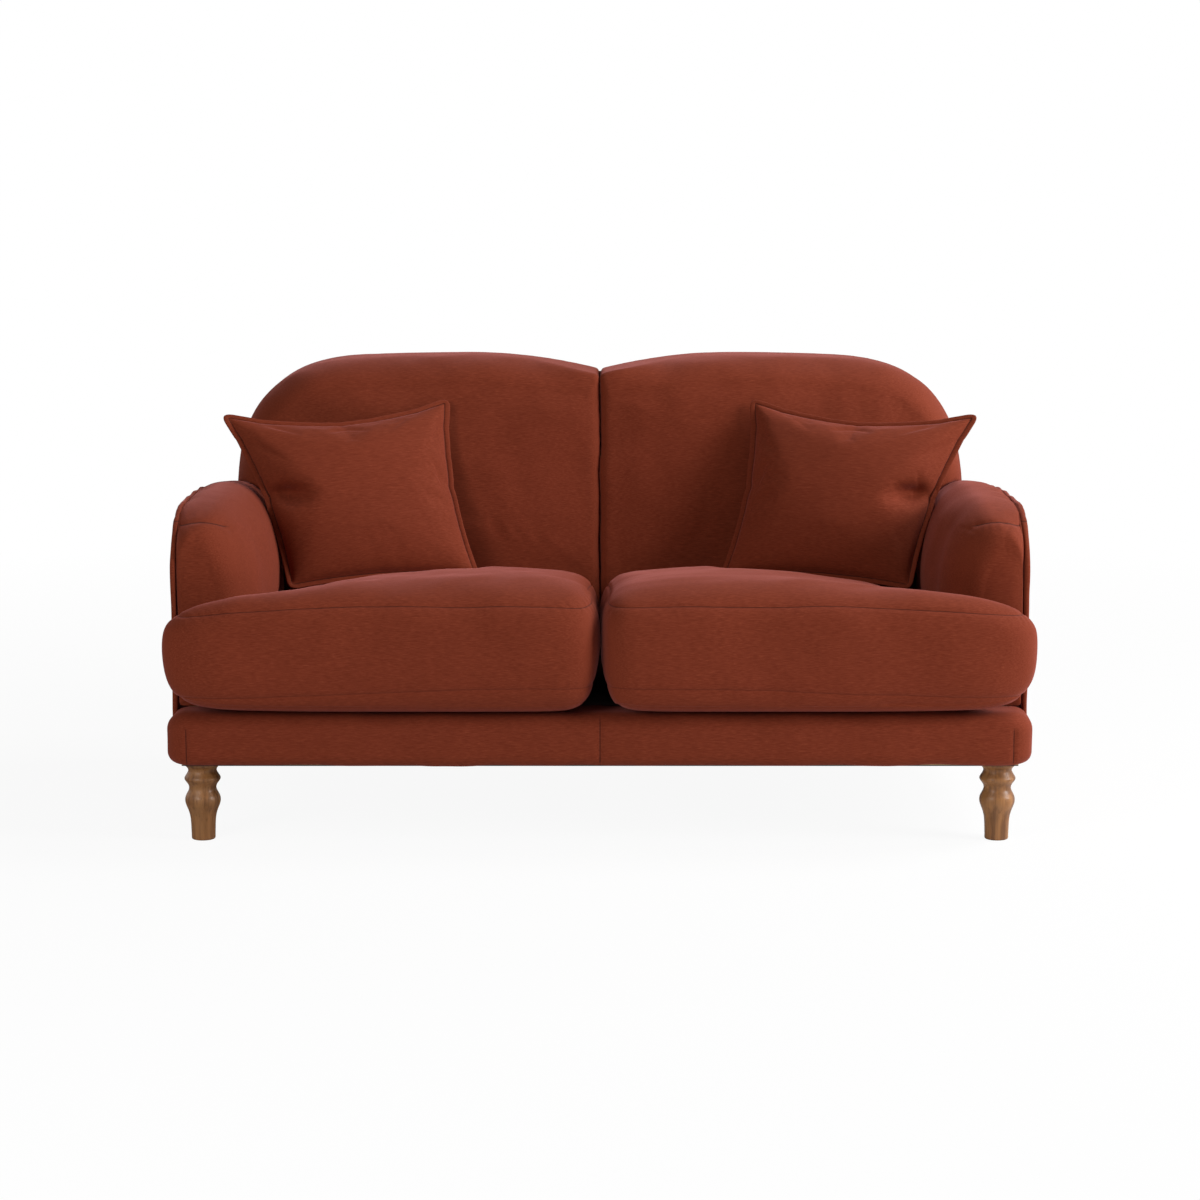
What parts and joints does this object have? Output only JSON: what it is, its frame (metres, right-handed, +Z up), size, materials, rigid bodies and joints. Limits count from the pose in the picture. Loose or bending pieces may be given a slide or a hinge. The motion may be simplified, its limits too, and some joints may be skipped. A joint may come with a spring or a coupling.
{
  "type": "high back settee",
  "caption": "Small settee with an arched split back, padded arms, seat cushions that wrap the arm fronts, scatter cushions and turned front legs.",
  "frame": {"origin": "on the floor under the middle of the settee's box", "axes": "+X to the right as seen from the front, +Y towards the back, +Z up"},
  "size_m": [1.5986, 0.96, 0.8487],
  "materials": {
    "fabric": "woven slubbed linen look, matt",
    "oak": "waxed turned oak",
    "beech": "bare planed beech",
    "plywood": "bare birch plywood",
    "webbing": "woven elastic webbing",
    "platform_cloth": "felted platform cloth",
    "dust_cloth": "black spun dust cloth",
    "foam": "cut upholstery foam in fibre wrap",
    "feather": "feather pad in cotton",
    "zip_tape": "coil zip on woven tape",
    "steel": "zinc plated, satin"
  },
  "bodies": {
    "root": {"front_rail": "beech", "rear_rail": "beech", "center_bearer": "beech", "dust_cover": "dust_cloth", "front_border": "fabric", "seat_webbing_1": "webbing", "seat_webbing_2": "webbing", "seat_webbing_3": "webbing", "seat_webbing_4": "webbing", "seat_webbing_5": "webbing", "seat_webbing_6": "webbing", "seat_deck": "platform_cloth", "back_post_center": "beech", "back_top_rail": "beech", "back_webbing_1": "webbing", "back_webbing_2": "webbing", "back_webbing_3": "webbing", "outside_back_panel": "fabric", "front_leg_left": "oak", "front_leg_right": "oak", "rear_leg_left": "oak", "rear_leg_right": "oak", "front_leg_bolt_left": "steel", "front_leg_bolt_right": "steel", "rear_leg_bolt_left": "steel", "rear_leg_bolt_right": "steel", "side_rail_left": "beech", "side_rail_right": "beech", "front_corner_block_left": "beech", "front_corner_block_right": "beech", "rear_corner_block_left": "beech", "rear_corner_block_right": "beech", "arm_board_left": "plywood", "arm_board_right": "plywood", "arm_pad_left": "fabric", "arm_pad_right": "fabric", "outside_arm_panel_left": "fabric", "outside_arm_panel_right": "fabric", "back_post_left": "beech", "back_post_right": "beech", "back_low_rail_left": "beech", "back_low_rail_right": "beech", "back_pad_left": "fabric", "back_pad_right": "fabric"},
    "seat_cushion_left": {"seat_cover_left": "fabric", "seat_core_left": "foam", "seat_zip_left": "zip_tape"},
    "zip_slider_left": {"seat_zip_slider_left": "steel"},
    "scatter_cushion_left": {"scatter_cover_left": "fabric", "scatter_pad_left": "feather", "scatter_zip_left": "zip_tape"},
    "seat_cushion_right": {"seat_cover_right": "fabric", "seat_core_right": "foam", "seat_zip_right": "zip_tape"},
    "zip_slider_right": {"seat_zip_slider_right": "steel"},
    "scatter_cushion_right": {"scatter_cover_right": "fabric", "scatter_pad_right": "feather", "scatter_zip_right": "zip_tape"}
  },
  "joints": [
    {"name": "seat_cushion_left_lift", "type": "slide", "parent": "root", "child": "seat_cushion_left", "axis": [0, 0, 1], "range_m": [0, 0.62]},
    {"name": "zip_slider_left_run", "type": "slide", "parent": "seat_cushion_left", "child": "zip_slider_left", "axis": [-1, 0, 0], "range_m": [0, 0.366]},
    {"name": "scatter_cushion_left_lift", "type": "slide", "parent": "seat_cushion_left", "child": "scatter_cushion_left", "axis": [0, 0, 1], "range_m": [0, 0.42]},
    {"name": "seat_cushion_right_lift", "type": "slide", "parent": "root", "child": "seat_cushion_right", "axis": [0, 0, 1], "range_m": [0, 0.62]},
    {"name": "zip_slider_right_run", "type": "slide", "parent": "seat_cushion_right", "child": "zip_slider_right", "axis": [1, 0, 0], "range_m": [0, 0.366]},
    {"name": "scatter_cushion_right_lift", "type": "slide", "parent": "seat_cushion_right", "child": "scatter_cushion_right", "axis": [0, 0, 1], "range_m": [0, 0.42]}
  ]
}
